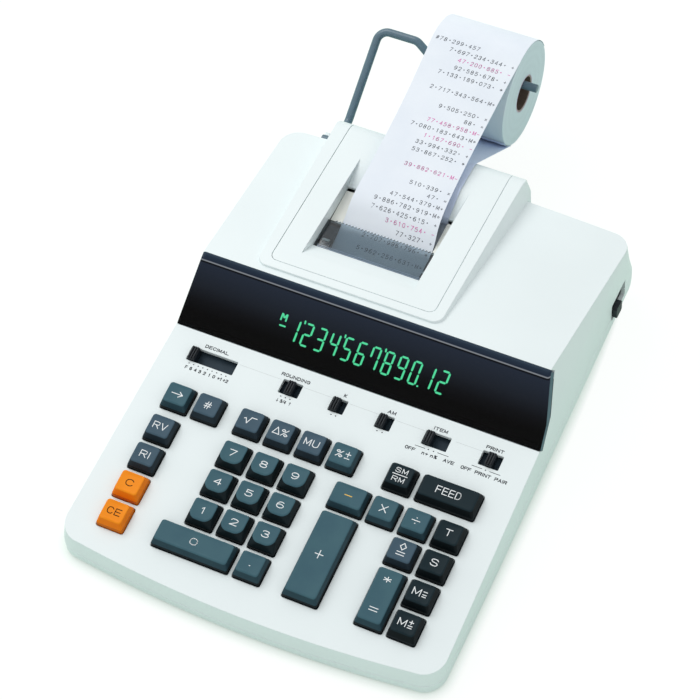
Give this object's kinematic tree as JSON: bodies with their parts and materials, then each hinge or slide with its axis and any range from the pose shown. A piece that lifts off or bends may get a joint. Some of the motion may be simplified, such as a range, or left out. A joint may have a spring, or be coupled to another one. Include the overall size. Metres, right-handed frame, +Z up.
{
  "type": "printing calculator",
  "caption": "Desktop printing calculator with a sloped key deck, smoked display window, ribbon printer under a lift-off cover and a paper roll on a folding wire arm",
  "frame": {"origin": "on the table, under the middle of the whole machine's box", "axes": "+X to the right of the keyboard, +Y from the keys to the paper roll, +Z up"},
  "size_m": [0.2294, 0.4006, 0.0856],
  "materials": {
    "case_plastic": "fine moulded texture, cool off-white",
    "smoked_window": "polished smoked acrylic",
    "display_glass": "dark tube glass",
    "circuit_board": "solder mask",
    "clear_plastic": "clear smoked, toothed edge",
    "frame_steel": "plated sheet",
    "painted_wire": "slate enamel on wire",
    "black_plastic": "moulded",
    "black_rubber": "moulded",
    "paper": "uncoated tape",
    "slate_keys": "double-shot key top, satin",
    "purple_keys": "double-shot key top, satin",
    "dark_keys": "double-shot key top, satin",
    "orange_keys": "double-shot key top, satin"
  },
  "bodies": {
    "case": {"top_case": "case_plastic", "bottom_case": "case_plastic", "printer_cover": "case_plastic", "display_window": "smoked_window", "display_tube": "display_glass", "key_board": "circuit_board", "tear_bar": "clear_plastic", "printer_frame": "frame_steel", "ribbon_cartridge": "black_plastic", "paper_tape": "paper", "cord_gland": "black_rubber", "transformer": "frame_steel", "foot_front_left": "black_rubber", "foot_front_right": "black_rubber", "foot_rear_left": "black_rubber", "foot_rear_right": "black_rubber"},
    "paper_arm": {"paper_arm": "painted_wire"},
    "paper_roll": {"paper_roll": "paper"},
    "platen_roller": {"platen_roller": "black_rubber"},
    "print_carriage": {"print_carriage": "black_plastic"},
    "power_slider": {"power_slider": "black_plastic"},
    "slider_decimal": {"slider_decimal": "black_plastic"},
    "slider_rounding": {"slider_rounding": "black_plastic"},
    "slider_constant": {"slider_constant": "black_plastic"},
    "slider_add_mode": {"slider_add_mode": "black_plastic"},
    "slider_item": {"slider_item": "black_plastic"},
    "slider_print": {"slider_print": "black_plastic"},
    "key_arrow": {"key_arrow": "slate_keys"},
    "key_number_sign": {"key_number_sign": "purple_keys"},
    "key_root": {"key_root": "purple_keys"},
    "key_delta_percent": {"key_delta_percent": "purple_keys"},
    "key_mark_up": {"key_mark_up": "purple_keys"},
    "key_percent_sign_change": {"key_percent_sign_change": "slate_keys"},
    "key_memory_store_recall": {"key_memory_store_recall": "dark_keys"},
    "key_paper_feed": {"key_paper_feed": "dark_keys"},
    "key_reverse": {"key_reverse": "purple_keys"},
    "key_7": {"key_7": "slate_keys"},
    "key_8": {"key_8": "slate_keys"},
    "key_9": {"key_9": "slate_keys"},
    "key_minus": {"key_minus": "slate_keys"},
    "key_times": {"key_times": "slate_keys"},
    "key_divide": {"key_divide": "slate_keys"},
    "key_total": {"key_total": "dark_keys"},
    "key_recall_item": {"key_recall_item": "purple_keys"},
    "key_4": {"key_4": "slate_keys"},
    "key_5": {"key_5": "slate_keys"},
    "key_6": {"key_6": "slate_keys"},
    "key_diamond_equals": {"key_diamond_equals": "purple_keys"},
    "key_subtotal": {"key_subtotal": "dark_keys"},
    "key_clear": {"key_clear": "orange_keys"},
    "key_1": {"key_1": "slate_keys"},
    "key_2": {"key_2": "slate_keys"},
    "key_3": {"key_3": "slate_keys"},
    "key_memory_minus": {"key_memory_minus": "dark_keys"},
    "key_clear_entry": {"key_clear_entry": "orange_keys"},
    "key_0": {"key_0": "slate_keys"},
    "key_point": {"key_point": "slate_keys"},
    "key_plus": {"key_plus": "slate_keys"},
    "key_star_equals": {"key_star_equals": "slate_keys"},
    "key_memory_plus": {"key_memory_plus": "dark_keys"}
  },
  "joints": [
    {"name": "paper_arm_lift", "type": "hinge", "parent": "case", "child": "paper_arm", "pos_m": [-0.0908, 0.09921, 0.04188], "axis": [1, 0, 0], "range_deg": [0, 75], "deforming": ["paper_tape"]},
    {"name": "paper_roll_turn", "type": "hinge", "parent": "paper_arm", "child": "paper_roll", "pos_m": [-0.0176, 0.16801, 0.05268], "axis": [1, 0, 0], "continuous": true},
    {"name": "platen_turn", "type": "hinge", "parent": "case", "child": "platen_roller", "pos_m": [-0.0176, 0.03651, 0.03924], "axis": [1, 0, 0], "continuous": true},
    {"name": "carriage_slide", "type": "slide", "parent": "case", "child": "print_carriage", "axis": [1, 0, 0], "range_m": [-0.024, 0.024]},
    {"name": "power_slide", "type": "slide", "parent": "case", "child": "power_slider", "axis": [0, 1, 0], "range_m": [0, 0.01]},
    {"name": "slider_decimal_slide", "type": "slide", "parent": "case", "child": "slider_decimal", "axis": [1, 0, 0], "range_m": [0, 0.0228]},
    {"name": "slider_rounding_slide", "type": "slide", "parent": "case", "child": "slider_rounding", "axis": [1, 0, 0], "range_m": [-0.00285, 0.00285]},
    {"name": "slider_constant_slide", "type": "slide", "parent": "case", "child": "slider_constant", "axis": [1, 0, 0], "range_m": [0, 0.00285]},
    {"name": "slider_add_mode_slide", "type": "slide", "parent": "case", "child": "slider_add_mode", "axis": [1, 0, 0], "range_m": [0, 0.00285]},
    {"name": "slider_item_slide", "type": "slide", "parent": "case", "child": "slider_item", "axis": [1, 0, 0], "range_m": [0, 0.00855]},
    {"name": "slider_print_slide", "type": "slide", "parent": "case", "child": "slider_print", "axis": [1, 0, 0], "range_m": [-0.00285, 0.00285]},
    {"name": "key_arrow_press", "type": "slide", "parent": "case", "child": "key_arrow", "axis": [0, 0.1219, -0.9925], "range_m": [0, 0.003], "stiffness_N_per_m": 150, "springref_m": -0.002},
    {"name": "key_number_sign_press", "type": "slide", "parent": "case", "child": "key_number_sign", "axis": [0, 0.1219, -0.9925], "range_m": [0, 0.003], "stiffness_N_per_m": 150, "springref_m": -0.002},
    {"name": "key_root_press", "type": "slide", "parent": "case", "child": "key_root", "axis": [0, 0.1219, -0.9925], "range_m": [0, 0.003], "stiffness_N_per_m": 150, "springref_m": -0.002},
    {"name": "key_delta_percent_press", "type": "slide", "parent": "case", "child": "key_delta_percent", "axis": [0, 0.1219, -0.9925], "range_m": [0, 0.003], "stiffness_N_per_m": 150, "springref_m": -0.002},
    {"name": "key_mark_up_press", "type": "slide", "parent": "case", "child": "key_mark_up", "axis": [0, 0.1219, -0.9925], "range_m": [0, 0.003], "stiffness_N_per_m": 150, "springref_m": -0.002},
    {"name": "key_percent_sign_change_press", "type": "slide", "parent": "case", "child": "key_percent_sign_change", "axis": [0, 0.1219, -0.9925], "range_m": [0, 0.003], "stiffness_N_per_m": 150, "springref_m": -0.002},
    {"name": "key_memory_store_recall_press", "type": "slide", "parent": "case", "child": "key_memory_store_recall", "axis": [0, 0.1219, -0.9925], "range_m": [0, 0.003], "stiffness_N_per_m": 150, "springref_m": -0.002},
    {"name": "key_paper_feed_press", "type": "slide", "parent": "case", "child": "key_paper_feed", "axis": [0, 0.1219, -0.9925], "range_m": [0, 0.003], "stiffness_N_per_m": 150, "springref_m": -0.002},
    {"name": "key_reverse_press", "type": "slide", "parent": "case", "child": "key_reverse", "axis": [0, 0.1219, -0.9925], "range_m": [0, 0.003], "stiffness_N_per_m": 150, "springref_m": -0.002},
    {"name": "key_7_press", "type": "slide", "parent": "case", "child": "key_7", "axis": [0, 0.1219, -0.9925], "range_m": [0, 0.003], "stiffness_N_per_m": 150, "springref_m": -0.002},
    {"name": "key_8_press", "type": "slide", "parent": "case", "child": "key_8", "axis": [0, 0.1219, -0.9925], "range_m": [0, 0.003], "stiffness_N_per_m": 150, "springref_m": -0.002},
    {"name": "key_9_press", "type": "slide", "parent": "case", "child": "key_9", "axis": [0, 0.1219, -0.9925], "range_m": [0, 0.003], "stiffness_N_per_m": 150, "springref_m": -0.002},
    {"name": "key_minus_press", "type": "slide", "parent": "case", "child": "key_minus", "axis": [0, 0.1219, -0.9925], "range_m": [0, 0.003], "stiffness_N_per_m": 150, "springref_m": -0.002},
    {"name": "key_times_press", "type": "slide", "parent": "case", "child": "key_times", "axis": [0, 0.1219, -0.9925], "range_m": [0, 0.003], "stiffness_N_per_m": 150, "springref_m": -0.002},
    {"name": "key_divide_press", "type": "slide", "parent": "case", "child": "key_divide", "axis": [0, 0.1219, -0.9925], "range_m": [0, 0.003], "stiffness_N_per_m": 150, "springref_m": -0.002},
    {"name": "key_total_press", "type": "slide", "parent": "case", "child": "key_total", "axis": [0, 0.1219, -0.9925], "range_m": [0, 0.003], "stiffness_N_per_m": 150, "springref_m": -0.002},
    {"name": "key_recall_item_press", "type": "slide", "parent": "case", "child": "key_recall_item", "axis": [0, 0.1219, -0.9925], "range_m": [0, 0.003], "stiffness_N_per_m": 150, "springref_m": -0.002},
    {"name": "key_4_press", "type": "slide", "parent": "case", "child": "key_4", "axis": [0, 0.1219, -0.9925], "range_m": [0, 0.003], "stiffness_N_per_m": 150, "springref_m": -0.002},
    {"name": "key_5_press", "type": "slide", "parent": "case", "child": "key_5", "axis": [0, 0.1219, -0.9925], "range_m": [0, 0.003], "stiffness_N_per_m": 150, "springref_m": -0.002},
    {"name": "key_6_press", "type": "slide", "parent": "case", "child": "key_6", "axis": [0, 0.1219, -0.9925], "range_m": [0, 0.003], "stiffness_N_per_m": 150, "springref_m": -0.002},
    {"name": "key_diamond_equals_press", "type": "slide", "parent": "case", "child": "key_diamond_equals", "axis": [0, 0.1219, -0.9925], "range_m": [0, 0.003], "stiffness_N_per_m": 150, "springref_m": -0.002},
    {"name": "key_subtotal_press", "type": "slide", "parent": "case", "child": "key_subtotal", "axis": [0, 0.1219, -0.9925], "range_m": [0, 0.003], "stiffness_N_per_m": 150, "springref_m": -0.002},
    {"name": "key_clear_press", "type": "slide", "parent": "case", "child": "key_clear", "axis": [0, 0.1219, -0.9925], "range_m": [0, 0.003], "stiffness_N_per_m": 150, "springref_m": -0.002},
    {"name": "key_1_press", "type": "slide", "parent": "case", "child": "key_1", "axis": [0, 0.1219, -0.9925], "range_m": [0, 0.003], "stiffness_N_per_m": 150, "springref_m": -0.002},
    {"name": "key_2_press", "type": "slide", "parent": "case", "child": "key_2", "axis": [0, 0.1219, -0.9925], "range_m": [0, 0.003], "stiffness_N_per_m": 150, "springref_m": -0.002},
    {"name": "key_3_press", "type": "slide", "parent": "case", "child": "key_3", "axis": [0, 0.1219, -0.9925], "range_m": [0, 0.003], "stiffness_N_per_m": 150, "springref_m": -0.002},
    {"name": "key_memory_minus_press", "type": "slide", "parent": "case", "child": "key_memory_minus", "axis": [0, 0.1219, -0.9925], "range_m": [0, 0.003], "stiffness_N_per_m": 150, "springref_m": -0.002},
    {"name": "key_clear_entry_press", "type": "slide", "parent": "case", "child": "key_clear_entry", "axis": [0, 0.1219, -0.9925], "range_m": [0, 0.003], "stiffness_N_per_m": 150, "springref_m": -0.002},
    {"name": "key_0_press", "type": "slide", "parent": "case", "child": "key_0", "axis": [0, 0.1219, -0.9925], "range_m": [0, 0.003], "stiffness_N_per_m": 150, "springref_m": -0.002},
    {"name": "key_point_press", "type": "slide", "parent": "case", "child": "key_point", "axis": [0, 0.1219, -0.9925], "range_m": [0, 0.003], "stiffness_N_per_m": 150, "springref_m": -0.002},
    {"name": "key_plus_press", "type": "slide", "parent": "case", "child": "key_plus", "axis": [0, 0.1219, -0.9925], "range_m": [0, 0.003], "stiffness_N_per_m": 150, "springref_m": -0.002},
    {"name": "key_star_equals_press", "type": "slide", "parent": "case", "child": "key_star_equals", "axis": [0, 0.1219, -0.9925], "range_m": [0, 0.003], "stiffness_N_per_m": 150, "springref_m": -0.002},
    {"name": "key_memory_plus_press", "type": "slide", "parent": "case", "child": "key_memory_plus", "axis": [0, 0.1219, -0.9925], "range_m": [0, 0.003], "stiffness_N_per_m": 150, "springref_m": -0.002}
  ]
}
